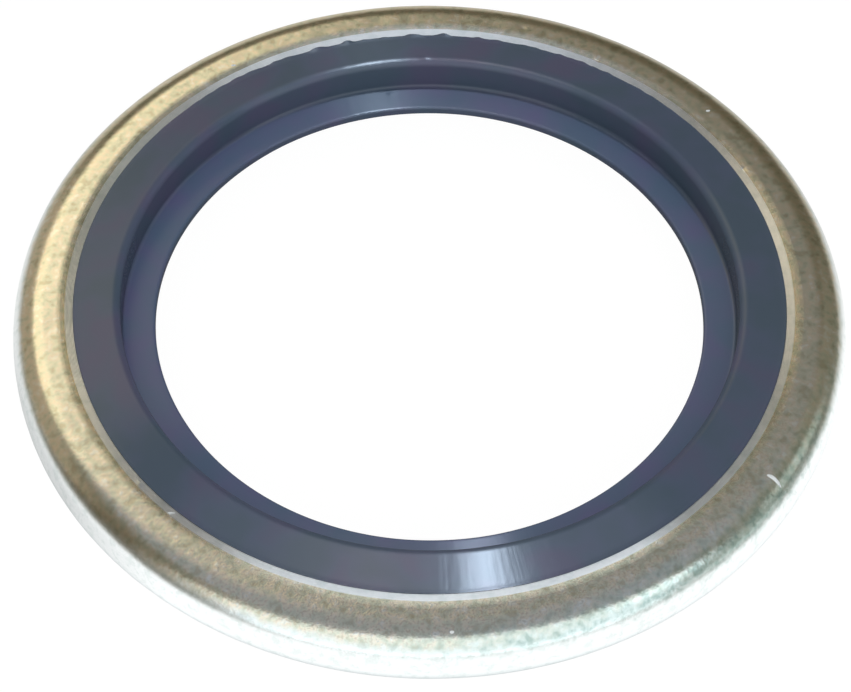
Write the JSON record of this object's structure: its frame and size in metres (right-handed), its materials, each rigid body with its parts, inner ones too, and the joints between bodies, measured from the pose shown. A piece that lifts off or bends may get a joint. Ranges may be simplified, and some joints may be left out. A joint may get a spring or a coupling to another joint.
{
  "type": "bonded sealing washer",
  "caption": "Flat steel ring with a rubber seal bonded in its bore: a sealing lip proud of each face and a thin centring web between the lips.",
  "frame": {"origin": "centre of the bore on the mid-plane between the two clamping faces", "axes": "+Z along the washer's axis; the washer is the same above and below the XY plane"},
  "size_m": [0.0286, 0.0286, 0.0028],
  "materials": {
    "plated_steel": "zinc plated and yellow passivated, matt with a fine grain",
    "nitrile_rubber": "moulded, slate black with a faint blue bloom, satin"
  },
  "bodies": {
    "root": {"metal_ring": "plated_steel", "rubber_seal": "nitrile_rubber"}
  },
  "joints": []
}
